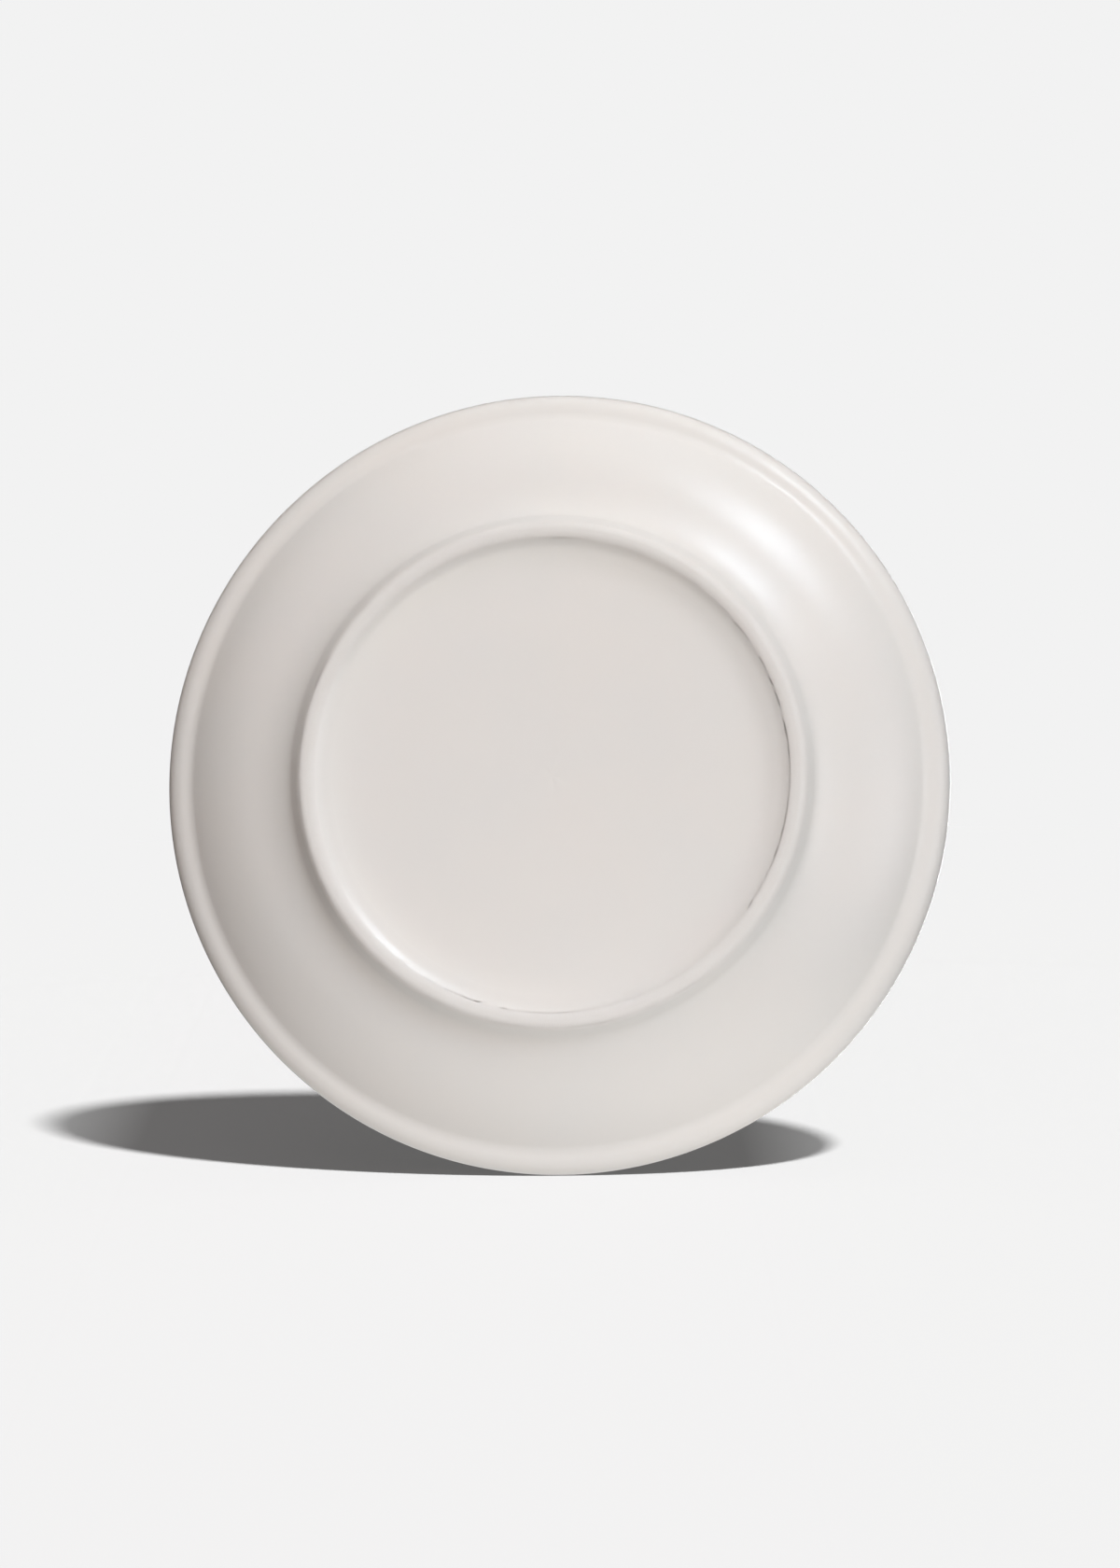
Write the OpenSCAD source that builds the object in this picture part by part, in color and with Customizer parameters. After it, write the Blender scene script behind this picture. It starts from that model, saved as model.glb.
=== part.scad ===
// Round dinner plate, resting on its foot ring: a fired clay body and its two coats of glaze.
// The plate is turned about Z, with z = 0 at the bare land of the foot ring.
// Its section is a smooth curve drawn through named corners, from the axis under the base,
// out along the underside, round the rim and back over the face to the axis.

/* [Plate] */
// Outer diameter of the glazed rim
plate_d = 270; // [225:1:324]
// Height from the foot's land to the glazed top of the rim
plate_h = 30; // [25:0.5:36]
// Thickness of the clay in the flange
flange_t = 4.8; // [4:0.1:6]
// Thickness of the clay in the base, above the recess
base_t = 5.4; // [4.4:0.1:6.6]

/* [Foot ring] */
// Diameter of the middle of the foot's land
foot_d = 168.6; // [140:0.1:203]
// Width of the foot's land, from corner to corner, before they are rounded
land_w = 4.2; // [3.6:0.1:5]
// Reach of the rounding on each side of the land's inner corner
land_in_round = 1.6; // [0.5:0.1:1.8]
// Reach of the rounding on each side of the land's outer corner
land_out_round = 2; // [0.5:0.1:2.2]
// Height of the clay base above the land
recess_h = 3.4; // [2.6:0.1:5]
// Width of the foot's sloping inner wall
inner_wall_w = 6; // [4.8:0.1:8]
// Reach of the cove where the inner wall meets the base, along the base
inner_cove_base = 9; // [3:0.5:12]
// Reach of the same cove along the inner wall
inner_cove_wall = 4; // [2:0.1:6]
// Width of the foot's outer wall
outer_wall_w = 4.6; // [3.4:0.1:6]
// Height of the foot's outer wall, up to the flange
outer_wall_h = 7.4; // [6:0.1:8.8]
// Reach of the cove where the outer wall meets the flange, along the wall
outer_cove_wall = 3.5; // [2:0.1:5]
// Reach of the same cove along the flange
outer_cove_flange = 14; // [4:0.5:15]

/* [Flange and rim] */
// Place of the flange's bend: how far out and how far up it lies, from the foot's wall to the lip
flange_bend_shares = [0.71, 0.45]; // [0.45:0.01:0.75]
// Reach of the bend on each side
flange_bend = 14; // [8:0.5:16]
// Width of the lip under the rim
lip_w = 8.2; // [6:0.1:10]
// Height that the lip climbs over its width
lip_rise = 1.5; // [0.8:0.1:2]
// Height of the rim's upright edge, from the lip's outer corner to the top
edge_h = 5.1; // [4.6:0.1:6.4]
// Reach of the cove where the flange meets the lip
lip_cove = 2; // [1:0.1:3]
// Reach of the rounding from the lip into the edge
edge_round = 5.1; // [2:0.1:6]
// Reach of the rounding from the edge over the top of the rim
crown_round = 2.2; // [1.6:0.1:3]
// Reach of the rounding from the rim's top down into the face
face_round = 4; // [2:0.1:5]
// Reach of the sweep from the flange's face into the floor of the well
well_sweep = 12; // [6:0.5:16]

/* [Glaze] */
// Thickness of both coats
glaze_t = 0.35; // [0.2:0.05:0.5]
// Height above the land that is wiped bare, on both walls of the foot
bare_h = 0.5; // [0.5:0.1:1.2]

/* [Hidden] */
$fn = 120;

// Most that a curve turns between two of its points, in degrees, and most that it runs
turn_step = 6;
run_step = 2.5;
// Points nearer than this are one point
merge_gap = 0.01;

// The clay lies one coat inside the glazed size
clay_r = plate_d / 2 - glaze_t;
clay_h = plate_h - glaze_t;
foot_r = foot_d / 2;
land_in_r = foot_r - land_w / 2;
land_out_r = foot_r + land_w / 2;
floor_h = recess_h + base_t;

// A corner is [radius, height, reach of its rounding before it, reach of its rounding after it]
BEFORE = 2;
AFTER = 3;
function rounded(radius, height, reach) = [radius, height, reach, reach];

// Corners of the underside
inner_cove_corner = [land_in_r - inner_wall_w, recess_h, inner_cove_base, inner_cove_wall];
land_in_corner = rounded(land_in_r, 0, land_in_round);
land_out_corner = rounded(land_out_r, 0, land_out_round);
outer_cove_corner = [land_out_r + outer_wall_w, outer_wall_h, outer_cove_wall, outer_cove_flange];
edge_corner = rounded(clay_r, clay_h - edge_h, edge_round);
lip_corner = rounded(clay_r - lip_w, clay_h - edge_h - lip_rise, lip_cove);
flange_corner = rounded(
    outer_cove_corner.x + flange_bend_shares.x * (lip_corner.x - outer_cove_corner.x),
    outer_cove_corner.y + flange_bend_shares.y * (lip_corner.y - outer_cove_corner.y),
    flange_bend
);
crown_corner = rounded(clay_r, clay_h, crown_round);

// Corners of the face, which runs parallel to the flange
face_bend_point = inset_corner(outer_cove_corner, flange_corner, lip_corner, flange_t);
face_top_r = radius_at(face_bend_point, direction(flange_corner, lip_corner), clay_h);
floor_r = radius_at(face_bend_point, direction(outer_cove_corner, flange_corner), floor_h);
face_top_corner = rounded(face_top_r, clay_h, face_round);
face_bend_corner = rounded(face_bend_point.x, face_bend_point.y, flange_bend);
floor_corner = rounded(floor_r, floor_h, well_sweep);

// The whole section: the two ends on the axis have no rounding
corners = [
    rounded(0, recess_h, 0),
    inner_cove_corner,
    land_in_corner,
    land_out_corner,
    outer_cove_corner,
    flange_corner,
    lip_corner,
    edge_corner,
    crown_corner,
    face_top_corner,
    face_bend_corner,
    floor_corner,
    rounded(0, floor_h, 0)
];
land_in = 2;
land_out = 3;
last = len(corners) - 1;

// A point is [radius, height]; a sample is a point with the heading of the curve there, in degrees
function flat(corner) = [corner.x, corner.y];
function gap(a, b) = norm(flat(b) - flat(a));
function direction(a, b) = (flat(b) - flat(a)) / gap(a, b);
function heading(a, b) = atan2(b.y - a.y, b.x - a.x);
function left_of(way) = [-way.y, way.x];

// Where the line through a point, along a direction, reaches a height
function radius_at(point, way, height) = point.x + (height - point.y) * way.x / way.y;

// The corner b of the outline a, b, c moved inwards, so that both its lines move by a distance
function inset_corner(a, b, c, distance) =
    let (
        normal_in = left_of(direction(a, b)),
        normal_out = left_of(direction(b, c)),
        both = normal_in + normal_out
    )
    flat(b) + 2 * distance * both / (both * both);

// Share of the named reaches that fits on the line from corner i to the next
function fit_share(i) =
    min(1, gap(corners[i], corners[i + 1]) / (corners[i][AFTER] + corners[i + 1][BEFORE]));
function reach_before(i) = corners[i][BEFORE] * fit_share(i - 1);
function reach_after(i) = corners[i][AFTER] * fit_share(i);

// One sample of a cubic curve through four points
function cubic_sample(p, t) =
    let (
        place = pow(1 - t, 3) * p[0] + 3 * t * pow(1 - t, 2) * p[1]
            + 3 * t * t * (1 - t) * p[2] + pow(t, 3) * p[3],
        slope = pow(1 - t, 2) * (p[1] - p[0]) + 2 * t * (1 - t) * (p[2] - p[1])
            + t * t * (p[3] - p[2])
    )
    [place.x, place.y, atan2(slope.y, slope.x)];

// The rounding of corner i: a circular arc when both its reaches are equal
function bend(i) =
    let (
        corner = flat(corners[i]),
        way_in = direction(corners[i - 1], corners[i]),
        way_out = direction(corners[i], corners[i + 1]),
        turn = acos(min(1, way_in * way_out)),
        pull = 4 / 3 * tan(turn / 4) / tan(turn / 2),
        start = corner - reach_before(i) * way_in,
        end = corner + reach_after(i) * way_out,
        handles = [start, start + pull * (corner - start), end + pull * (corner - end), end],
        steps = ceil(max(turn / turn_step, (reach_before(i) + reach_after(i)) / run_step))
    )
    [for (k = [0 : steps]) cubic_sample(handles, k / steps)];

function bends(from, to) = [for (i = [from : to]) each bend(i)];

// Where two roundings meet, the second one's first sample is left out
function distinct(samples) = [
    for (i = [0 : len(samples) - 1])
        if (i == 0 || gap(samples[i], samples[i - 1]) > merge_gap) samples[i]
];

// The clay's surface in two stretches: the base out to the land, and the land round to the face
base_samples = distinct(concat(
    [[0, recess_h, heading(corners[0], corners[1])]],
    bends(1, land_in)
));
outer_samples = distinct(concat(
    bends(land_out, last - 1),
    [[0, floor_h, heading(corners[last - 1], corners[last])]]
));

// The sample between two others at which the curve crosses a height
function crossing(a, b, height) = a + (b - a) * (height - a.y) / (b.y - a.y);

// The part of a stretch that lies above a height, cut off exactly there
function samples_above(samples, height) = [
    for (i = [0 : len(samples) - 1])
        let (this = samples[i], next = samples[min(i + 1, len(samples) - 1)])
        each concat(
            this.y > height ? [this] : [],
            (this.y - height) * (next.y - height) < 0 ? [crossing(this, next, height)] : []
        )
];

// A sample's point, moved out from the clay by the thickness of a coat
function coat_point(sample, thickness) =
    flat(sample) + thickness * [sin(sample.z), -cos(sample.z)];
function surface_points(samples, thickness) = [for (s = samples) coat_point(s, thickness)];
function reversed(list) = [for (i = [len(list) - 1 : -1 : 0]) list[i]];

// The outline of the coat on a stretch of the clay's surface, wiped off near the land
module coat_section(samples) {
    coated = samples_above(samples, bare_h);
    polygon(concat(surface_points(coated, 0), reversed(surface_points(coated, glaze_t))));
}

// The fired body, with its foot ring and bare land
module clay_body() {
    color("antiquewhite")
        rotate_extrude()
            polygon(surface_points(distinct(concat(base_samples, outer_samples)), 0));
}

// The coat from the outside of the foot ring, round the rim and over the face
module outer_glaze() {
    color("whitesmoke")
        rotate_extrude()
            coat_section(outer_samples);
}

// The coat on the base, inside the foot ring
module base_glaze() {
    color("gainsboro")
        rotate_extrude()
            coat_section(base_samples);
}

clay_body();
outer_glaze();
base_glaze();
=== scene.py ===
"""A round dinner plate, turned on its section: a fired clay body and its two coats of satin glaze."""

import math
from collections import namedtuple

import bmesh
import bpy
from mathutils import Matrix, Vector, noise


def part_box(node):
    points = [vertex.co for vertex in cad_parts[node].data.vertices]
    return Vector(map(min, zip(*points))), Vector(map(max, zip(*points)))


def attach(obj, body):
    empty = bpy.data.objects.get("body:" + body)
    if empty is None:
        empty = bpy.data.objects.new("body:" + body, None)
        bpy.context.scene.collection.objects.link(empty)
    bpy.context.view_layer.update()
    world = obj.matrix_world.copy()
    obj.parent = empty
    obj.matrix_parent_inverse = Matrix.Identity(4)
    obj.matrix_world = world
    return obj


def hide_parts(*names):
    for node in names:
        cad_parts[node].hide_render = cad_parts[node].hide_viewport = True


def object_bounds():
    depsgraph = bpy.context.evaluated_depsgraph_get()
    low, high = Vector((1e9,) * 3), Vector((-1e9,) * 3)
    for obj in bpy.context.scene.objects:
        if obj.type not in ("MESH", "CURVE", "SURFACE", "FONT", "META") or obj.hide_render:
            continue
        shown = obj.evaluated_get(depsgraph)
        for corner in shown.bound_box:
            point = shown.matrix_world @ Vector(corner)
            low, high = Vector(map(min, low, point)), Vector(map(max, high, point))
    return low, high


bl_info = {
    "name": "Dinner plate",
    "version": (1, 0, 0),
    "blender": (4, 5, 0),
    "location": "View3D > Sidebar > Plate",
    "description": "A glazed stoneware dinner plate, turned on its section, and its studio",
    "category": "Add Mesh",
}

# Every length is in metres
MM = 0.001

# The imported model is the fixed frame, and its overall sizes are the plate's own
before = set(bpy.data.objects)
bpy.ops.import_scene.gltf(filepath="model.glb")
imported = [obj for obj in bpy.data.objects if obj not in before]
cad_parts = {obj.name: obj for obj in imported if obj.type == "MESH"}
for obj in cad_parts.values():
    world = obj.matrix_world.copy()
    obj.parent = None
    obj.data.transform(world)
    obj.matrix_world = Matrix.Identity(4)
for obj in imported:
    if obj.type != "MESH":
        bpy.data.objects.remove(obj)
cad_low, cad_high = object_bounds()
clay_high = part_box("clay_body")[1]
base_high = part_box("base_glaze")[1]


def length(name, description, default):
    return bpy.props.FloatProperty(name=name, description=description, default=default, unit="LENGTH")


def angle(name, description, default):
    return bpy.props.FloatProperty(name=name, description=description, default=default, subtype="ANGLE")


def amount(name, description, default):
    return bpy.props.FloatProperty(name=name, description=description, default=default)


def count(name, description, default):
    return bpy.props.IntProperty(name=name, description=description, default=default, min=1)


def direction(name, description, default):
    return bpy.props.FloatVectorProperty(
        name=name, description=description, default=default, size=3, subtype="DIRECTION"
    )


def colour(name, description, default):
    return bpy.props.FloatVectorProperty(
        name=name, description=description, default=default, size=3, subtype="COLOR", min=0, max=1
    )


class PlateForm(bpy.types.PropertyGroup):
    """Sizes of the plate's section."""

    plate_d: length("Plate diameter", "Outer diameter of the glazed rim", cad_high.x - cad_low.x)
    plate_h: length("Plate height", "Height from the land to the glazed top of the rim", cad_high.z)
    glaze_t: length("Glaze", "Thickness of both coats", cad_high.x - clay_high.x)
    recess_h: length("Recess height", "Height of the clay base above the land", base_high.z)
    flange_t: length("Flange thickness", "Thickness of the clay in the flange", 4.8 * MM)
    base_t: length("Base thickness", "Thickness of the clay in the base", 5.4 * MM)
    foot_d: length("Foot diameter", "Diameter of the middle of the foot's land", 168.6 * MM)
    land_w: length("Land width", "Width of the land, from corner to corner", 4.2 * MM)
    land_in_round: length("Inner land rounding", "Rounding of the land's inner corner", 1.6 * MM)
    land_out_round: length("Outer land rounding", "Rounding of the land's outer corner", 2 * MM)
    inner_wall_w: length("Inner wall", "Width of the foot's inner wall", 6 * MM)
    inner_cove_base: length("Inner cove, base", "Reach of the inner cove along the base", 9 * MM)
    inner_cove_wall: length("Inner cove, wall", "Reach of the inner cove along the inner wall", 4 * MM)
    outer_wall_w: length("Outer wall width", "Width of the foot's outer wall", 4.6 * MM)
    outer_wall_h: length("Outer wall height", "Height of the foot's outer wall", 7.4 * MM)
    outer_cove_wall: length("Outer cove, wall", "Reach of the outer cove along the outer wall", 3.5 * MM)
    outer_cove_flange: length("Outer cove, flange", "Reach of the outer cove along the flange", 14 * MM)
    bend_out_share: amount("Bend, outward", "How far out the flange bends, as a share", 0.71)
    bend_up_share: amount("Bend, upward", "How far up the flange bends, as a share", 0.45)
    flange_bend: length("Flange bend", "Rounding of the flange's bend", 14 * MM)
    lip_w: length("Lip width", "Width of the lip under the rim", 8.2 * MM)
    lip_rise: length("Lip rise", "Height that the lip climbs over its width", 1.5 * MM)
    edge_h: length("Edge height", "Height of the rim's upright edge", 5.1 * MM)
    lip_cove: length("Lip cove", "Cove where the flange meets the lip", 2 * MM)
    edge_round: length("Edge rounding", "Rounding from the lip into the edge", 5.1 * MM)
    crown_round: length("Crown rounding", "Rounding from the edge over the top of the rim", 2.2 * MM)
    face_round: length("Face rounding", "Rounding from the rim's top into the face", 4 * MM)
    well_sweep: length("Well sweep", "Sweep from the flange's face into the well's floor", 12 * MM)
    bare_h: length("Wiped height", "Height above the land that is wiped bare of glaze", 0.5 * MM)
    feather_w: length("Feather", "Width over which a coat thins out to its wiped edge", 6 * MM)
    turn_step: angle("Turn step", "Most that the section turns between two points", math.radians(4))
    run_step: length("Run step", "Most that the section runs between two points", 1.8 * MM)
    sectors: count("Sectors", "Equal sectors in one turn", 8)
    sector_steps: count("Sector steps", "Steps in one sector", 32)
    mark_depth: length("Mark depth", "Depth of the soft marks that the wheel left", 0.06 * MM)
    mark_width: length("Mark width", "Width of one mark, from the axis outward", 13 * MM)
    mark_spread: amount("Mark spread", "How often a mark changes in one turn", 1.5)


class Finish(bpy.types.PropertyGroup):
    """Colours and gloss of the glaze and of the bare clay."""

    glaze: colour("Glaze", "Colour of the glaze where it lies thick", (0.738, 0.722, 0.691))
    glaze_warm: colour("Warm glaze", "Colour that the glaze drifts to in soft clouds", (0.753, 0.728, 0.691))
    # The brown tint: a darker, browner tone that the glaze takes near the foot's land, evenly all round, and
    # that the clay's clouds drift to
    brown_tint: colour("Thin glaze", "Colour of the glaze where it thins over an edge", (0.725, 0.685, 0.65))
    clay: colour("Clay", "Colour of the bare clay", (0.748, 0.73, 0.7))
    clay_dark: colour("Dark clay", "Colour of the clay's darker grains", (0.715, 0.69, 0.655))
    glaze_rough: amount("Glaze roughness", "Roughness of the glaze", 0.3)
    clay_rough: amount("Clay roughness", "Roughness of the bare clay", 0.7)


class Studio(bpy.types.PropertyGroup):
    """The camera, the floors and the lights. Directions are right, up and towards the camera."""

    distance: length("Distance", "Distance from the camera to the rim", 2)
    tilt: angle("Tilt", "Angle between the view and the plate's axis", math.radians(7.7))
    lean: angle("Lean", "Direction in the picture that the underside leans to", math.radians(128))
    aim_right: length("Aim, right", "How far right of the rim's middle the camera aims", 0.87 * MM)
    aim_up: length("Aim, up", "How far above the rim's middle the camera aims", -0.52 * MM)
    look_down: angle("Look down", "Angle at which the camera looks down on the floor", math.radians(5.2))
    roll: angle("Roll", "How far the floor rises from left to right in the picture", math.radians(1.1))
    backdrop: amount("Backdrop", "Brightness of the backdrop", 0.888)
    key_towards: direction("Key", "Direction of the light that draws the shadow", (0.362, 1, 0.72))
    key_size: angle("Key size", "How wide the key light looks", math.radians(4.5))
    key_power: amount("Key power", "Power of the key light", 28.7)
    soft_towards: direction("Soft light", "Direction of the plate's soft light", (0.348, 0.709, 0.616))
    soft_size: angle("Soft size", "How wide the soft light looks", math.radians(14))
    soft_power: amount("Soft power", "Power of the soft light", 0.915)
    soft_tint: colour("Soft tint", "Colour of the soft light", (0.75, 0.878, 1))
    high: amount("High front", "Brightness of the room's glow from high in front", 2.83)
    high_tint: colour("High front tint", "Colour of the glow from high in front", (1, 0.96, 0.915))
    low: amount("Low front", "Brightness of the room's glow from low in front", 9.2)
    low_tint: colour("Low front tint", "Colour of the glow from low in front", (1, 0.947, 0.817))
    above: amount("Above", "Brightness of the room's glow from above", 1.74)
    above_tint: colour("Above tint", "Colour of the glow from above", (1, 0.963, 0.937))
    side: amount("Side", "Brightness of the room's glow from the front right", 4.12)
    side_tint: colour("Side tint", "Colour of the glow from the front right", (1, 0.96, 1))
    left: amount("Left", "Brightness of the room's glow from the front left", 0.48)
    left_tint: colour("Left tint", "Colour of the glow from the front left", (1, 0.31, 0.4))
    floor_shade: amount("Floor shade", "Brightness that the floor keeps in the deepest shadow", 0.08)
    shade_ends: amount("Shade, ends", "Brightness that the floor keeps at the shadow's two ends", 0.23)
    floor_left: amount("Floor, left", "Glow that the floor throws up at the front left", 0.615)
    floor_right: amount("Floor, right", "Glow that the floor throws up at the front right", 1.02)
    floor_behind: amount("Floor, behind", "Glow that the floor throws up behind the plate", 0.73)
    face_power: amount("Face power", "Power of the soft light on the face", 2)


# The section

# A corner of the outline, with the reach of its rounding before and after it, and a point of the curve
# that is drawn through the corners, with its heading
Corner = namedtuple("Corner", "place before after")
Sample = namedtuple("Sample", "place heading")
# Places in the list of corners of the two that bound the land
LAND_IN = 2
LAND_OUT = 3
# Samples nearer than this share of the usual run are one
MERGE_SHARE = 0.01
# Steps across a coat's feathered edge
FEATHER_STEPS = 8


def way(a, b):
    """The direction from one point to another."""
    return (b - a).normalized()


def radius_at(point, along, height):
    """Where the line through a point, along a direction, reaches a height."""
    return point.x + (height - point.y) * along.x / along.y


def inset_corner(a, b, c, distance):
    """The corner b of the outline a, b, c, moved in so that both its lines move by a distance."""
    normals = [Vector((-d.y, d.x)) for d in (way(a, b), way(b, c))]
    both = normals[0] + normals[1]
    return b + 2 * distance * both / both.length_squared


def section_corners(form):
    """The corners of the clay's outline, from the axis under the base round the rim to the axis again."""
    clay_r = form.plate_d / 2 - form.glaze_t
    clay_h = form.plate_h - form.glaze_t
    land_in_r = form.foot_d / 2 - form.land_w / 2
    land_out_r = form.foot_d / 2 + form.land_w / 2
    floor_h = form.recess_h + form.base_t
    outer_cove = Vector((land_out_r + form.outer_wall_w, form.outer_wall_h))
    edge = Vector((clay_r, clay_h - form.edge_h))
    lip = edge - Vector((form.lip_w, form.lip_rise))
    shares = Vector((form.bend_out_share, form.bend_up_share))
    flange = outer_cove + shares * (lip - outer_cove)
    face_bend = inset_corner(outer_cove, flange, lip, form.flange_t)
    face_top_r = radius_at(face_bend, way(flange, lip), clay_h)
    floor_r = radius_at(face_bend, way(outer_cove, flange), floor_h)
    inner_cove = Vector((land_in_r - form.inner_wall_w, form.recess_h))
    return [
        Corner(Vector((0, form.recess_h)), 0, 0),
        Corner(inner_cove, form.inner_cove_base, form.inner_cove_wall),
        Corner(Vector((land_in_r, 0)), form.land_in_round, form.land_in_round),
        Corner(Vector((land_out_r, 0)), form.land_out_round, form.land_out_round),
        Corner(outer_cove, form.outer_cove_wall, form.outer_cove_flange),
        Corner(flange, form.flange_bend, form.flange_bend),
        Corner(lip, form.lip_cove, form.lip_cove),
        Corner(edge, form.edge_round, form.edge_round),
        Corner(Vector((clay_r, clay_h)), form.crown_round, form.crown_round),
        Corner(Vector((face_top_r, clay_h)), form.face_round, form.face_round),
        Corner(face_bend, form.flange_bend, form.flange_bend),
        Corner(Vector((floor_r, floor_h)), form.well_sweep, form.well_sweep),
        Corner(Vector((0, floor_h)), 0, 0),
    ]


def fit_share(corners, i):
    """Share of the named reaches that fits on the line from corner i to the next."""
    gap = (corners[i + 1].place - corners[i].place).length
    return min(1, gap / (corners[i].after + corners[i + 1].before))


def cubic_sample(handles, t):
    """One sample of a cubic curve through four points."""
    a, b, c, d = handles
    s = 1 - t
    place = s**3 * a + 3 * t * s * s * b + 3 * t * t * s * c + t**3 * d
    slope = s * s * (b - a) + 2 * t * s * (c - b) + t * t * (d - c)
    return Sample(place, math.atan2(slope.y, slope.x))


def bend(form, corners, i):
    """The rounding of one corner: a circular arc when both its reaches are equal."""
    corner = corners[i].place
    way_in = way(corners[i - 1].place, corner)
    way_out = way(corner, corners[i + 1].place)
    turn = way_in.angle(way_out)
    pull = 4 / 3 * math.tan(turn / 4) / math.tan(turn / 2)
    before = corners[i].before * fit_share(corners, i - 1)
    after = corners[i].after * fit_share(corners, i)
    start = corner - before * way_in
    end = corner + after * way_out
    handles = (start, start.lerp(corner, pull), end.lerp(corner, pull), end)
    steps = math.ceil(max(turn / form.turn_step, (before + after) / form.run_step))
    return [cubic_sample(handles, k / steps) for k in range(steps + 1)]


def filled(form, samples):
    """The samples, with the straight runs between them divided, and without doubles."""
    out = [samples[0]]
    for sample in samples[1:]:
        run = (sample.place - out[-1].place).length
        if run < form.run_step * MERGE_SHARE:
            continue
        parts = math.ceil(run / form.run_step)
        start = out[-1].place
        out += [Sample(start.lerp(sample.place, k / parts), sample.heading) for k in range(1, parts)]
        out.append(sample)
    return out


def base_samples(form):
    """The clay's surface from the axis out to the land."""
    corners = section_corners(form)
    samples = [Sample(corners[0].place, 0.0)]
    for i in range(1, LAND_IN + 1):
        samples += bend(form, corners, i)
    return filled(form, samples)


def outer_samples(form):
    """The clay's surface from the land round the rim and over the face to the axis."""
    corners = section_corners(form)
    samples = []
    for i in range(LAND_OUT, len(corners) - 1):
        samples += bend(form, corners, i)
    samples.append(Sample(corners[-1].place, math.pi))
    return filled(form, samples)


def above(samples, height):
    """The part of a stretch that lies above a height, cut off exactly there."""
    out = []
    for this, after in zip(samples, samples[1:] + samples[-1:]):
        if this.place.y > height:
            out.append(this)
        if (this.place.y - height) * (after.place.y - height) < 0:
            share = (height - this.place.y) / (after.place.y - this.place.y)
            heading = this.heading + share * (after.heading - this.heading)
            out.append(Sample(this.place.lerp(after.place, share), heading))
    return out


def out_of(sample):
    """The direction out of the clay at a sample."""
    return Vector((math.sin(sample.heading), -math.cos(sample.heading)))


def refined(samples, run, step):
    """The samples, with the steps in their first run made smaller."""
    out = [samples[0]]
    done = 0
    for this, after in zip(samples, samples[1:]):
        gap = (after.place - this.place).length
        parts = math.ceil(gap / step) if done < run else 1
        turn = after.heading - this.heading
        out += [
            Sample(this.place.lerp(after.place, k / parts), this.heading + turn * k / parts)
            for k in range(1, parts + 1)
        ]
        done += gap
    return out


def smooth_share(value, start, end):
    """A share that grows smoothly from 0 at start to 1 at end."""
    t = min(1, max(0, (value - start) / (end - start)))
    return t * t * (3 - 2 * t)


def coat_outline(form, samples, wiped_first):
    """A coat's outline: back along the clay, then over its own surface, feathered where it is wiped."""
    coated = above(samples, form.bare_h)
    ordered = coated if wiped_first else coated[::-1]
    ordered = refined(ordered, form.feather_w, form.feather_w / FEATHER_STEPS)
    surface = []
    run = 0
    for i, sample in enumerate(ordered):
        if i:
            run += (sample.place - ordered[i - 1].place).length
        thickness = form.glaze_t * smooth_share(run, 0, form.feather_w)
        surface.append(sample.place + thickness * out_of(sample))
    return [sample.place for sample in ordered[:0:-1]] + surface


# From a section to a turned piece

# Two faces that meet at this angle or more keep a crisp edge
CRISP_ANGLE = math.radians(60)


def harden(bm):
    """Shades every face smooth, and keeps the thin edge of a coat crisp."""
    for face in bm.faces:
        face.smooth = True
    for edge in bm.edges:
        edge.smooth = edge.calc_face_angle(0) < CRISP_ANGLE


def add_marks(form, verts):
    """Moves points up and down by the wheel's soft marks, which fade out at the land and the rim."""
    foot_r = form.foot_d / 2
    foot_fade = (form.land_w, form.land_w + form.outer_wall_w)
    rim_r = form.plate_d / 2
    rim_fade = (form.lip_w / 2, 2 * form.lip_w)
    # The properties are read once, because the loop runs over every point
    depth = form.mark_depth
    width = form.mark_width
    spread = form.mark_spread
    for vert in verts:
        around = vert.co.xy
        radius = around.length
        fade = smooth_share(abs(radius - foot_r), *foot_fade) * smooth_share(rim_r - radius, *rim_fade)
        around = around.normalized() * spread
        vert.co.z += depth * fade * noise.noise((around.x, around.y, radius / width))


def moved_copies(bm, number, place):
    """Makes the mesh a number of its own copies, with copy k moved by the transform place(k)."""
    first = bm.verts[:] + bm.edges[:] + bm.faces[:]
    for k in range(1, number):
        copy = bmesh.ops.duplicate(bm, geom=first)["geom"]
        verts = [item for item in copy if isinstance(item, bmesh.types.BMVert)]
        bmesh.ops.transform(bm, verts=verts, matrix=place(k))


def linked_piece(name, bm):
    """An object in the scene with a finished mesh."""
    mesh = bpy.data.meshes.new(name)
    bm.to_mesh(mesh)
    bm.free()
    piece = bpy.data.objects.new(name, mesh)
    bpy.context.scene.collection.objects.link(piece)
    return piece


def turned_piece(name, form, outline):
    """Turns a line of [radius, height] once round Z, first over one sector, and closes the piece."""
    bm = bmesh.new()
    verts = [bm.verts.new((p.x, 0, p.y)) for p in outline]
    edges = [bm.edges.new(pair) for pair in zip(verts, verts[1:])]
    sector = 2 * math.pi / form.sectors
    bmesh.ops.spin(
        bm,
        geom=verts + edges,
        cent=(0, 0, 0),
        axis=(0, 0, 1),
        dvec=(0, 0, 0),
        angle=sector,
        steps=form.sector_steps,
        use_merge=False,
        use_normal_flip=False,
        use_duplicate=False,
    )
    moved_copies(bm, form.sectors, lambda k: Matrix.Rotation(k * sector, 4, "Z"))
    bmesh.ops.remove_doubles(bm, verts=bm.verts[:], dist=form.run_step * MERGE_SHARE)
    add_marks(form, bm.verts)
    bmesh.ops.recalc_face_normals(bm, faces=bm.faces[:])
    harden(bm)
    return linked_piece(name, bm)


def seat(piece, node, material):
    """Gives a piece its material and puts it in the place of its CAD node."""
    piece.data.materials.append(material)
    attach(piece, "root")
    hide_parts(node)


# Materials

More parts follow.
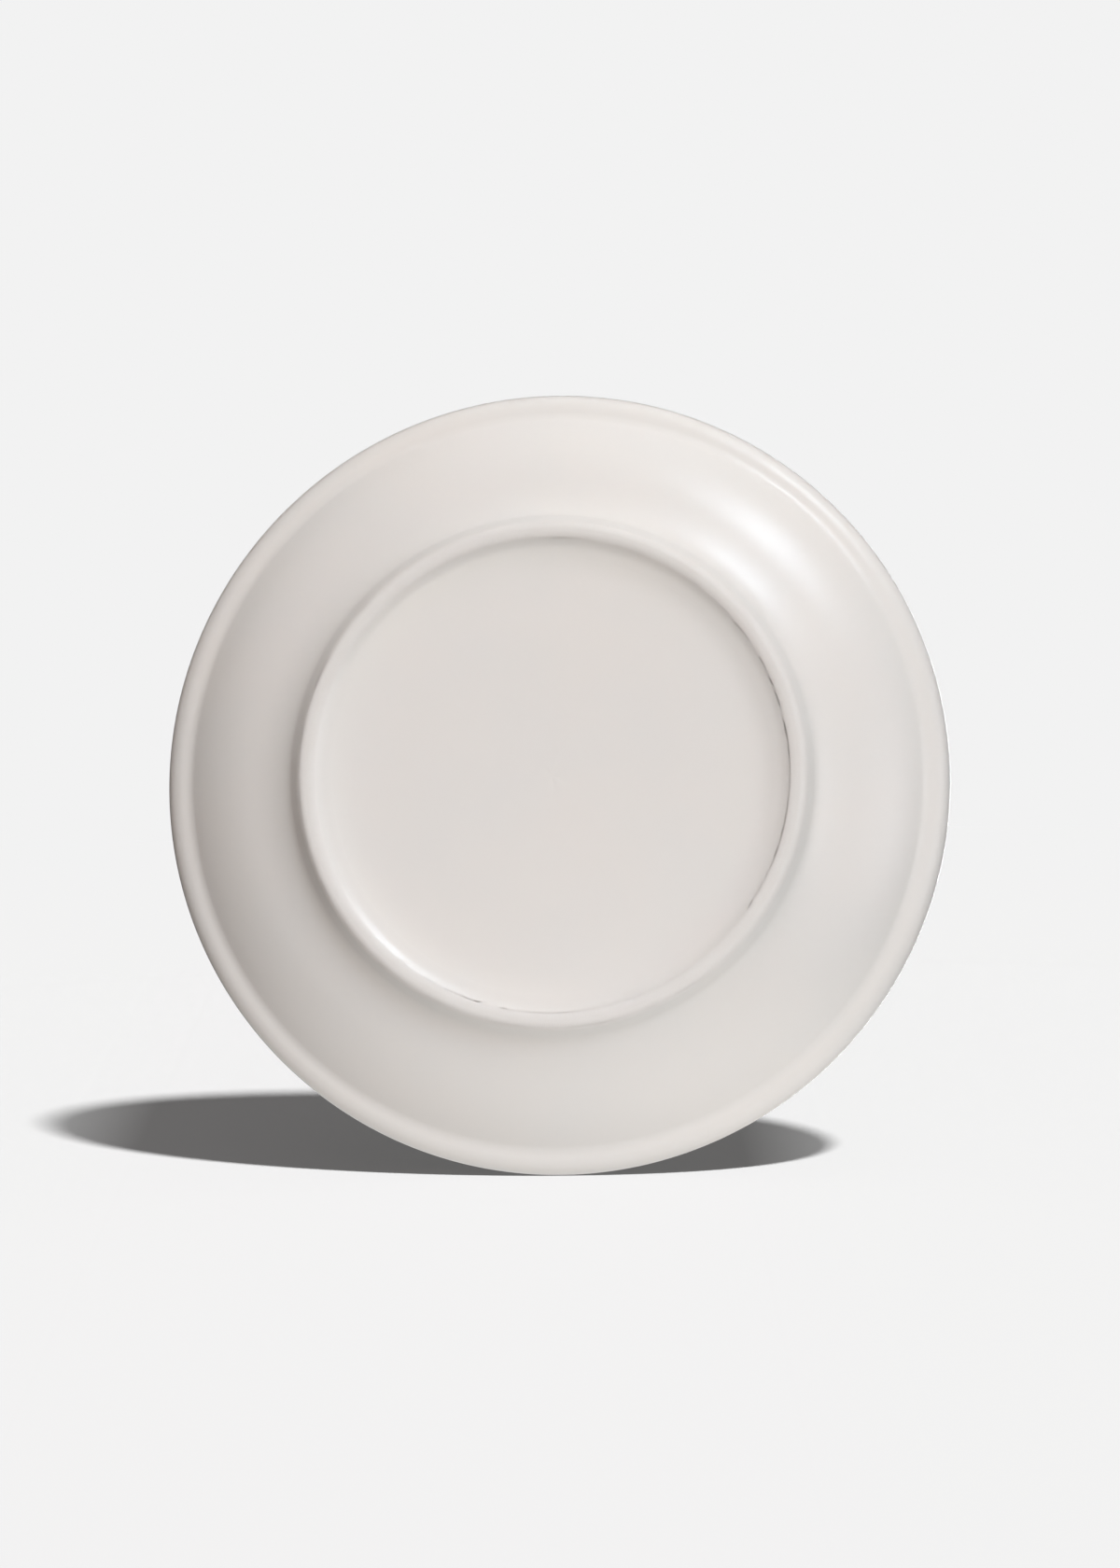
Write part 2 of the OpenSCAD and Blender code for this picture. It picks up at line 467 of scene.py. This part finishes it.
# A pattern has the width of its spots, the number and strength of its finer layers, and the span of its
# values that is used. A relief has the depth of its bumps instead of the span
Pattern = namedtuple("Pattern", "size layers strength span")
Relief = namedtuple("Relief", "size layers strength depth")
GLAZE_CLOUDS = Pattern(45 * MM, 3, 0.5, (0.35, 0.65))
GLAZE_GLOSS = Pattern(18 * MM, 4, 0.55, (0.3, 0.7))
GLAZE_EDGE = Pattern(3 * MM, 3, 0.6, (0.3, 0.7))
GLAZE_PEEL = Relief(2.2 * MM, 2, 0.5, 0.006 * MM)
CLAY_GRAIN = Pattern(0.5 * MM, 4, 0.6, (0.42, 0.62))
CLAY_CLOUDS = Pattern(12 * MM, 3, 0.5, (0.35, 0.7))
CLAY_GLOSS = Pattern(1.2 * MM, 3, 0.5, (0.3, 0.7))
CLAY_COARSE = Relief(1.1 * MM, 3, 0.6, 0.012 * MM)
CLAY_FINE = Relief(0.25 * MM, 2, 0.6, 0.005 * MM)
# How far the edge of the brown tint near the foot's land wanders, and the share of that tint there
EDGE_WANDER = 0.5 * MM
BROWN_TINT_SHARE = 0.25
# Most that the grain and the clouds tint the clay, as shares
GRAIN_SHARE = 0.35
CLAY_CLOUD_SHARE = 0.3
# How far the roughness of each goes below and above its own
GLAZE_ROUGH_SPAN = (-0.015, 0.04)
CLAY_ROUGH_SPAN = (-0.06, 0)
GLAZE_IOR = 1.5


def add_node(tree, kind, **settings):
    """A new node with some of its settings."""
    node = tree.nodes.new(kind)
    for name, value in settings.items():
        setattr(node, name, value)
    return node


def own_place(tree):
    """The piece's own coordinates."""
    return add_node(tree, "ShaderNodeTexCoord").outputs["Object"]


def separated(tree, vector):
    """The three parts of a vector."""
    parts = add_node(tree, "ShaderNodeSeparateXYZ")
    tree.links.new(vector, parts.inputs[0])
    return parts.outputs


def own_distance(tree):
    """Distance from the piece's own origin."""
    away = add_node(tree, "ShaderNodeVectorMath", operation="LENGTH")
    tree.links.new(own_place(tree), away.inputs[0])
    return away.outputs["Value"]


def noise_node(tree, pattern):
    """Noise on the piece's own coordinates."""
    texture = add_node(tree, "ShaderNodeTexNoise")
    texture.inputs["Scale"].default_value = 1 / pattern.size
    texture.inputs["Detail"].default_value = pattern.layers
    texture.inputs["Roughness"].default_value = pattern.strength
    tree.links.new(own_place(tree), texture.inputs["Vector"])
    return texture.outputs["Fac"]


def ranged(tree, value, start, end, low, high):
    """A value between two limits, moved evenly onto two others."""
    node = add_node(tree, "ShaderNodeMapRange")
    for name, number in zip(("From Min", "From Max", "To Min", "To Max"), (start, end, low, high)):
        node.inputs[name].default_value = number
    tree.links.new(value, node.inputs["Value"])
    return node.outputs["Result"]


def patterned(tree, pattern, low, high):
    """A value that goes from low to high over the used span of a pattern."""
    return ranged(tree, noise_node(tree, pattern), *pattern.span, low, high)


def mixed(tree, share, first, second):
    """Two colours mixed by a share. Each is a colour or an output."""
    node = add_node(tree, "ShaderNodeMix", data_type="RGBA")
    tree.links.new(share, node.inputs["Factor"])
    for name, value in (("A", first), ("B", second)):
        socket = next(s for s in node.inputs if s.name == name and s.type == "RGBA")
        if isinstance(value, bpy.types.NodeSocket):
            tree.links.new(value, socket)
        else:
            socket.default_value = (*value, 1)
    return next(s for s in node.outputs if s.type == "RGBA")


def bumped(tree, relief, before=None):
    """The bumps of a relief, on top of another one's."""
    node = add_node(tree, "ShaderNodeBump")
    node.inputs["Distance"].default_value = relief.depth
    tree.links.new(noise_node(tree, relief), node.inputs["Height"])
    if before:
        tree.links.new(before, node.inputs["Normal"])
    return node.outputs["Normal"]


def new_material(name):
    """A material, its node tree and its shader."""
    material = bpy.data.materials.new(name)
    material.use_nodes = True
    return material, material.node_tree, material.node_tree.nodes["Principled BSDF"]


def feed(tree, socket, value):
    """Sets a socket to a number, or links an output to it. A number in a colour socket is a grey."""
    if isinstance(value, bpy.types.NodeSocket):
        tree.links.new(value, socket)
    elif socket.type == "RGBA":
        socket.default_value = (value, value, value, 1)
    else:
        socket.default_value = value


def math_node(tree, operation, first, second):
    """Arithmetic on two values. Each is a number or an output."""
    node = add_node(tree, "ShaderNodeMath", operation=operation)
    feed(tree, node.inputs[0], first)
    feed(tree, node.inputs[1], second)
    return node.outputs[0]


def foot_distance(tree, form):
    """Distance from the circle that the foot rests on."""
    x, y, z = separated(tree, own_place(tree))
    squares = [math_node(tree, "POWER", part, 2) for part in (x, y)]
    radius = math_node(tree, "SQRT", math_node(tree, "ADD", *squares), 0)
    out = math_node(tree, "POWER", math_node(tree, "SUBTRACT", radius, form.foot_d / 2), 2)
    up = math_node(tree, "POWER", z, 2)
    return math_node(tree, "SQRT", math_node(tree, "ADD", out, up), 0)


def finish_shader(tree, shader, tone, rough, bumps):
    """Links a tone, a roughness and bumps to a shader."""
    for name, value in (("Base Color", tone), ("Roughness", rough), ("Normal", bumps)):
        tree.links.new(value, shader.inputs[name])


def rough_pattern(tree, pattern, rough, span):
    """A roughness that varies with a pattern, from one end of a span round it to the other."""
    return patterned(tree, pattern, rough + span[0], rough + span[1])


def glaze_material(finish, form, name):
    """Satin glaze: soft clouds of tone, a faint orange peel, and a warm tint near the foot."""
    material, tree, shader = new_material(name)
    tone = mixed(tree, patterned(tree, GLAZE_CLOUDS, 0, 1), finish.glaze, finish.glaze_warm)
    ragged = patterned(tree, GLAZE_EDGE, -EDGE_WANDER, EDGE_WANDER)
    edge = math_node(tree, "ADD", foot_distance(tree, form), ragged)
    # Near the foot's land the glaze is tinted darker and browner, evenly all round
    brown_share = ranged(tree, edge, form.land_w / 2, form.land_w, BROWN_TINT_SHARE, 0)
    tone = mixed(tree, brown_share, tone, finish.brown_tint)
    rough = rough_pattern(tree, GLAZE_GLOSS, finish.glaze_rough, GLAZE_ROUGH_SPAN)
    finish_shader(tree, shader, tone, rough, bumped(tree, GLAZE_PEEL))
    shader.inputs["IOR"].default_value = GLAZE_IOR
    return material


def clay_material(finish):
    """Bare fired clay: dry and pale, with a fine grain."""
    material, tree, shader = new_material("bare_clay")
    tone = mixed(tree, patterned(tree, CLAY_GRAIN, 0, GRAIN_SHARE), finish.clay, finish.clay_dark)
    tone = mixed(tree, patterned(tree, CLAY_CLOUDS, 0, CLAY_CLOUD_SHARE), tone, finish.brown_tint)
    rough = rough_pattern(tree, CLAY_GLOSS, finish.clay_rough, CLAY_ROUGH_SPAN)
    finish_shader(tree, shader, tone, rough, bumped(tree, CLAY_FINE, bumped(tree, CLAY_COARSE)))
    return material


# The studio

# The picture's height in pixels, the film's height, and pixels to a metre at the rim
PICTURE_H = 1680
FILM = 36
PICTURE_SCALE = 3110
# Nearest and farthest that the camera sees, as shares of its distance
VIEW_SHARES = (0.01, 10)
# The side that faces the camera, and the side of the rim that the plate stands on in the picture
UNDERSIDE = Vector((0, 0, -1))
REST_SIDE = Vector((1, -1, 0)).normalized()
UP = Vector((0, 0, 1))
WHITE = (1, 1, 1)
# Where the room glows, as right, up and towards the camera, and how narrow each glow is
HIGH_FRONT = Vector((0, 0.37, 0.93))
LOW_FRONT = Vector((0, -0.37, 0.93))
ABOVE = Vector((0, 1, 0.25))
SIDE = Vector((0.7, 0, 0.7))
LEFT = Vector((-0.45, 0.45, 0.77))
GLOW_FOCUS = 25
WIDE_FOCUS = 6
# Reach of both floors, their corners, and where they melt into the backdrop, as shares of the reach
FLOOR_R = 1800 * MM
FLOOR_CORNERS = 96
MELT_SHARES = (1 / 3, 2 / 3)
# Width of the change in the floor's own glow from left to right, and from behind to the front
SIDE_RAMP = 150 * MM
FRONT_RAMP = 50 * MM
# Where that glow fades out, away from the plate
GLOW_ENDS = (150 * MM, 300 * MM)
# Middle of the shadow, how far from there its ends begin and end, and the paper's brightness
SHADOW_MIDDLE = -44 * MM
SHADOW_ENDS = (107 * MM, 138 * MM)
FLOOR_PAPER = 0.1
# The table under the foot, for views from the face's side
TABLE_GAP = 0.1 * MM
TABLE_PAPER = 0.5
TABLE_SHADE = 0.2
# The slats behind the plate
SLAT_RISE = 1.5 * MM
SLAT_LEAN = math.radians(18)
SLAT_START = -60 * MM
SLAT_REACH = 500 * MM
SLAT_COUNT = 140
# The soft light on the face
FACE_TOWARDS = Vector((-0.12, 0, 1)).normalized()
FACE_SIZE = math.radians(20)


def picture_frame(studio):
    """Turns directions in the picture (right, up, towards the camera) into the plate's own."""
    across = math.sin(studio.tilt)
    towards = math.cos(studio.tilt)
    lean = Vector((across * math.cos(studio.lean), across * math.sin(studio.lean), towards))
    down = Vector((0, -1, 0))
    down = (down - lean * lean.dot(down)).normalized()
    seen = Matrix((lean, down, lean.cross(down)))
    own = Matrix((UNDERSIDE, REST_SIDE, UNDERSIDE.cross(REST_SIDE)))
    return own.transposed() @ seen


def placed(place, turn):
    """The transform that turns a piece and puts it in its place."""
    return Matrix.Translation(place) @ turn.to_4x4()


def rim_middle(form):
    """The middle of the rim's widest circle."""
    return Vector((0, 0, form.plate_h - form.edge_h / 2))


def add_camera(studio, form):
    """The camera, which looks at the rim from the picture's angle."""
    turn = picture_frame(studio)
    data = bpy.data.cameras.new("camera")
    data.sensor_width = FILM
    data.lens = studio.distance * PICTURE_SCALE * FILM / PICTURE_H
    data.clip_start, data.clip_end = [studio.distance * share for share in VIEW_SHARES]
    camera = bpy.data.objects.new("camera", data)
    aim = rim_middle(form) + turn @ Vector((studio.aim_right, studio.aim_up, 0))
    camera.matrix_world = placed(aim + turn @ Vector((0, 0, studio.distance)), turn)
    bpy.context.scene.collection.objects.link(camera)
    bpy.context.scene.camera = camera


def stage_piece(name, bm, place, turn, material):
    """A piece of the studio, which isn't part of the plate."""
    piece = linked_piece(name, bm)
    piece.matrix_world = placed(place, turn)
    piece.data.materials.append(material)
    return piece


def add_disc(name, place, turn, material):
    """A round floor."""
    bm = bmesh.new()
    bmesh.ops.create_circle(bm, cap_ends=True, radius=FLOOR_R, segments=FLOOR_CORNERS)
    return stage_piece(name, bm, place, turn, material)


def add_slats(name, place, turn, material):
    """Low slats that lean away from the camera. It sees past them, and from behind they hide the shadow."""
    pitch = SLAT_RISE / math.tan(SLAT_LEAN)
    bm = bmesh.new()
    corners = (
        (-SLAT_REACH, SLAT_START, SLAT_RISE),
        (SLAT_REACH, SLAT_START, SLAT_RISE),
        (SLAT_REACH, SLAT_START + pitch, 0),
        (-SLAT_REACH, SLAT_START + pitch, 0),
    )
    bm.faces.new([bm.verts.new(corner) for corner in corners])
    moved_copies(bm, SLAT_COUNT, lambda k: Matrix.Translation((0, k * pitch, 0)))
    return stage_piece(name, bm, place, turn, material)


def hide_from_light(piece):
    """Leaves a stage piece visible to the camera alone."""
    for ray in ("diffuse", "glossy", "transmission", "volume_scatter", "shadow"):
        setattr(piece, "visible_" + ray, False)


def floor_turn(studio):
    """Turns the floor's own directions (right, behind, up) into the plate's."""
    rolled = picture_frame(studio) @ Matrix.Rotation(studio.roll, 3, "Z")
    return rolled @ Matrix.Rotation(studio.look_down - math.pi / 2, 3, "X")


def lowest_point(up):
    """The point of the plate that the floor touches."""
    corners = [v.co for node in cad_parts.values() for v in node.data.vertices]
    return min(corners, key=lambda co: co.dot(up))


def light_path(tree, output):
    """What kind of ray meets the surface, or what it has passed."""
    return add_node(tree, "ShaderNodeLightPath").outputs[output]


def shader_pair(tree, kind, first, second):
    """A node that takes two shaders in its last two sockets."""
    node = add_node(tree, kind)
    for socket, value in zip(node.inputs[-2:], (first, second)):
        tree.links.new(value, socket)
    return node


def shader_sum(tree, first, second):
    """Two shaders, added."""
    return shader_pair(tree, "ShaderNodeAddShader", first, second).outputs[0]


def shader_mix(tree, share, first, second):
    """Two shaders, mixed by a share."""
    node = shader_pair(tree, "ShaderNodeMixShader", first, second)
    tree.links.new(share, node.inputs[0])
    return node.outputs[0]


def clear(tree):
    """A shader that lets everything through."""
    return add_node(tree, "ShaderNodeBsdfTransparent").outputs[0]


def glow(tree, level):
    """A surface that glows with a brightness."""
    node = add_node(tree, "ShaderNodeEmission")
    feed(tree, node.inputs["Color"], level)
    return node.outputs[0]


def paper(tree, level, shade):
    """Paper of a brightness, which keeps a little of it in the deepest shadow."""
    matt = add_node(tree, "ShaderNodeBsdfDiffuse")
    feed(tree, matt.inputs["Color"], level)
    return shader_sum(tree, matt.outputs[0], glow(tree, shade))


def melting(tree, shader, backdrop):
    """A shader that melts into the backdrop away from the piece's origin."""
    ends = [FLOOR_R * share for share in MELT_SHARES]
    share = ranged(tree, own_distance(tree), *ends, 0, 1)
    return shader_mix(tree, share, shader, glow(tree, backdrop))


def one_sided(name, make_shader, *values):
    """A material that shows on the upper side only. Its shader is made from the tree and the values."""
    material = bpy.data.materials.new(name)
    material.use_nodes = True
    tree = material.node_tree
    tree.nodes.clear()
    side = add_node(tree, "ShaderNodeNewGeometry")
    whole = shader_mix(tree, side.outputs["Backfacing"], make_shader(tree, *values), clear(tree))
    out = add_node(tree, "ShaderNodeOutputMaterial")
    tree.links.new(whole, out.inputs["Surface"])
    return material


def slat_shader(tree, backdrop):
    """The backdrop, but clear for a view from below, which comes through the floor first."""
    passed = math_node(tree, "MINIMUM", light_path(tree, "Transparent Depth"), 1)
    return shader_mix(tree, passed, glow(tree, backdrop), clear(tree))


def table_shader(tree, backdrop):
    """Pale paper that melts into the backdrop."""
    return melting(tree, paper(tree, TABLE_PAPER, TABLE_SHADE), backdrop)


def thrown_glow(tree, studio, x, y):
    """The glow that the floor throws on the plate, dim at the front left and behind."""
    left = ranged(tree, x, -SIDE_RAMP, SIDE_RAMP, 1, 0)
    front = ranged(tree, y, -FRONT_RAMP, 0, 1, 0)
    ends = [level - studio.floor_behind for level in (studio.floor_right, studio.floor_left)]
    in_front = math_node(tree, "MULTIPLY", ranged(tree, left, 0, 1, *ends), front)
    level = math_node(tree, "ADD", in_front, studio.floor_behind)
    near = ranged(tree, own_distance(tree), *GLOW_ENDS, 1, 0)
    return glow(tree, math_node(tree, "MULTIPLY", level, near))


def floor_paper(tree, studio, x):
    """The paper that the camera sees, with a shadow that is less deep at its ends."""
    off_centre = math_node(tree, "ABSOLUTE", math_node(tree, "SUBTRACT", x, SHADOW_MIDDLE), 0)
    shade = ranged(tree, off_centre, *SHADOW_ENDS, studio.floor_shade, studio.shade_ends)
    # Where the shadow is less deep, the paper is darker, so that the lit floor stays even
    lit_share = (studio.backdrop - studio.shade_ends) / (studio.backdrop - studio.floor_shade)
    level = ranged(tree, off_centre, *SHADOW_ENDS, FLOOR_PAPER, FLOOR_PAPER * lit_share)
    return melting(tree, paper(tree, level, shade), studio.backdrop)


def floor_shader(tree, studio):
    """Pale paper for the camera, and a glow for the plate."""
    x, y, _ = separated(tree, own_place(tree))
    seen = floor_paper(tree, studio, x)
    return shader_mix(tree, light_path(tree, "Is Camera Ray"), thrown_glow(tree, studio, x, y), seen)


def room_glow(tree, place, towards, level, tint, focus):
    """A soft glow of the room round one direction: its brightness falls off as a narrow bell."""
    facing = add_node(tree, "ShaderNodeVectorMath", operation="DOT_PRODUCT")
    tree.links.new(place, facing.inputs[0])
    facing.inputs[1].default_value = towards
    reach = math_node(tree, "MULTIPLY", facing.outputs["Value"], focus)
    fall = math_node(tree, "ADD", reach, math.log(level) - focus)
    background = add_node(tree, "ShaderNodeBackground")
    background.inputs["Color"].default_value = (*tint, 1)
    tree.links.new(math_node(tree, "EXPONENT", fall, 0), background.inputs["Strength"])
    return background.outputs[0]


def add_world(studio):
    """An even backdrop for the camera, and a room that glows from the front and from above."""
    world = bpy.data.worlds.new("studio")
    bpy.context.scene.world = world
    world.use_nodes = True
    tree = world.node_tree
    tree.nodes.clear()
    place = add_node(tree, "ShaderNodeTexCoord").outputs["Generated"]
    turn = picture_frame(studio)
    glows = (
        (HIGH_FRONT, studio.high, studio.high_tint, GLOW_FOCUS),
        (LOW_FRONT, studio.low, studio.low_tint, GLOW_FOCUS),
        (ABOVE, studio.above, studio.above_tint, WIDE_FOCUS),
        (SIDE, studio.side, studio.side_tint, GLOW_FOCUS),
        (LEFT, studio.left, studio.left_tint, GLOW_FOCUS),
    )
    room = None
    for towards, level, tint, focus in glows:
        lit = room_glow(tree, place, turn @ towards.normalized(), level, tint, focus)
        room = shader_sum(tree, room, lit) if room else lit
    backdrop = add_node(tree, "ShaderNodeBackground")
    feed(tree, backdrop.inputs["Color"], studio.backdrop)
    both = shader_mix(tree, light_path(tree, "Is Camera Ray"), room, backdrop.outputs[0])
    out = add_node(tree, "ShaderNodeOutputWorld")
    tree.links.new(both, out.inputs["Surface"])


def light_group(name, pieces):
    """A group of pieces that a light falls on, or that throw its shadow."""
    group = bpy.data.collections.new(name)
    for piece in pieces:
        group.objects.link(piece)
    return group


def add_sun(name, towards, power, size, tint, receivers, blockers):
    """A light from far away, which falls on one group and throws the shadow of another."""
    data = bpy.data.lights.new(name, "SUN")
    data.energy = power
    data.angle = size
    data.color = tint
    lamp = bpy.data.objects.new(name, data)
    lamp.rotation_mode = "QUATERNION"
    lamp.rotation_quaternion = towards.to_track_quat("Z", "Y")
    lamp.light_linking.receiver_collection = receivers
    lamp.light_linking.blocker_collection = blockers
    bpy.context.scene.collection.objects.link(lamp)


def add_floors(studio):
    """The picture's floor with its slats, and the table under the foot."""
    turn = floor_turn(studio)
    contact = lowest_point(turn @ UP)
    floor = add_disc("floor", contact, turn, one_sided("floor", floor_shader, studio))
    slats = add_slats("slats", contact, turn, one_sided("slats", slat_shader, studio.backdrop))
    under_foot = Vector((0, 0, cad_low.z - TABLE_GAP))
    table_paper = one_sided("table_top", table_shader, studio.backdrop)
    table = add_disc("table_top", under_foot, Matrix.Identity(3), table_paper)
    hide_from_light(slats)
    hide_from_light(table)
    return floor, table


def add_lights(studio, floor, table):
    """The suns, each on its own pieces, and the limit of the floor's glow to the plate."""
    pieces = [bpy.data.objects[name] for name in ("fired_clay", "outer_coat", "base_coat")]
    plate = light_group("plate", pieces)
    floor.light_linking.receiver_collection = plate
    turn = picture_frame(studio)
    key = turn @ Vector(studio.key_towards)
    add_sun("key", key, studio.key_power, studio.key_size, WHITE, light_group("floor", [floor]), plate)
    soft = turn @ Vector(studio.soft_towards)
    add_sun("soft", soft, studio.soft_power, studio.soft_size, studio.soft_tint, plate, plate)
    lit = light_group("plate_and_table", pieces + [table])
    add_sun("face", FACE_TOWARDS, studio.face_power, FACE_SIZE, WHITE, lit, plate)


class PLATE_OT_clay_body(bpy.types.Operator):
    """Turn the clay body, with its foot ring and bare land"""

    bl_idname = "plate.clay_body"
    bl_label = "Clay body"

    def execute(self, context):
        form = context.scene.plate_form
        outline = [sample.place for sample in base_samples(form) + outer_samples(form)]
        piece = turned_piece("fired_clay", form, outline)
        seat(piece, "clay_body", clay_material(context.scene.plate_finish))
        return {"FINISHED"}


class PLATE_OT_outer_glaze(bpy.types.Operator):
    """Coat the foot's outside, the flange, the rim and the face"""

    bl_idname = "plate.outer_glaze"
    bl_label = "Outer glaze"

    def execute(self, context):
        form = context.scene.plate_form
        piece = turned_piece("outer_coat", form, coat_outline(form, outer_samples(form), True))
        glaze = glaze_material(context.scene.plate_finish, form, "outer_glaze")
        seat(piece, "outer_glaze", glaze)
        return {"FINISHED"}


class PLATE_OT_base_glaze(bpy.types.Operator):
    """Coat the base, inside the foot ring"""

    bl_idname = "plate.base_glaze"
    bl_label = "Base glaze"

    def execute(self, context):
        form = context.scene.plate_form
        piece = turned_piece("base_coat", form, coat_outline(form, base_samples(form), False))
        glaze = glaze_material(context.scene.plate_finish, form, "base_glaze")
        seat(piece, "base_glaze", glaze)
        return {"FINISHED"}


class PLATE_OT_studio(bpy.types.Operator):
    """Set the camera, the floors and the lights"""

    bl_idname = "plate.studio"
    bl_label = "Studio"

    def execute(self, context):
        studio = context.scene.plate_studio
        context.scene.view_settings.view_transform = "Standard"
        add_camera(studio, context.scene.plate_form)
        floor, table = add_floors(studio)
        add_world(studio)
        add_lights(studio, floor, table)
        return {"FINISHED"}


class PLATE_PT_panel(bpy.types.Panel):
    """Lists the plate's pieces and its studio"""

    bl_idname = "PLATE_PT_panel"
    bl_label = "Dinner plate"
    bl_space_type = "VIEW_3D"
    bl_region_type = "UI"
    bl_category = "Plate"

    def draw(self, context):
        for operator in STEPS:
            self.layout.operator(operator.bl_idname)
        for group in (context.scene.plate_form, context.scene.plate_finish, context.scene.plate_studio):
            box = self.layout.box()
            for name in group.bl_rna.properties.keys():
                if name not in ("rna_type", "name"):
                    box.prop(group, name)


STEPS = (PLATE_OT_clay_body, PLATE_OT_outer_glaze, PLATE_OT_base_glaze, PLATE_OT_studio)
CLASSES = (PlateForm, Finish, Studio, *STEPS, PLATE_PT_panel)


def register():
    for cls in CLASSES:
        bpy.utils.register_class(cls)
    bpy.types.Scene.plate_form = bpy.props.PointerProperty(type=PlateForm)
    bpy.types.Scene.plate_finish = bpy.props.PointerProperty(type=Finish)
    bpy.types.Scene.plate_studio = bpy.props.PointerProperty(type=Studio)


def unregister():
    del bpy.types.Scene.plate_studio
    del bpy.types.Scene.plate_finish
    del bpy.types.Scene.plate_form
    for cls in reversed(CLASSES):
        bpy.utils.unregister_class(cls)


def main():
    register()
    bpy.ops.plate.clay_body()
    bpy.ops.plate.outer_glaze()
    bpy.ops.plate.base_glaze()
    bpy.ops.plate.studio()


if __name__ == "__main__":
    main()
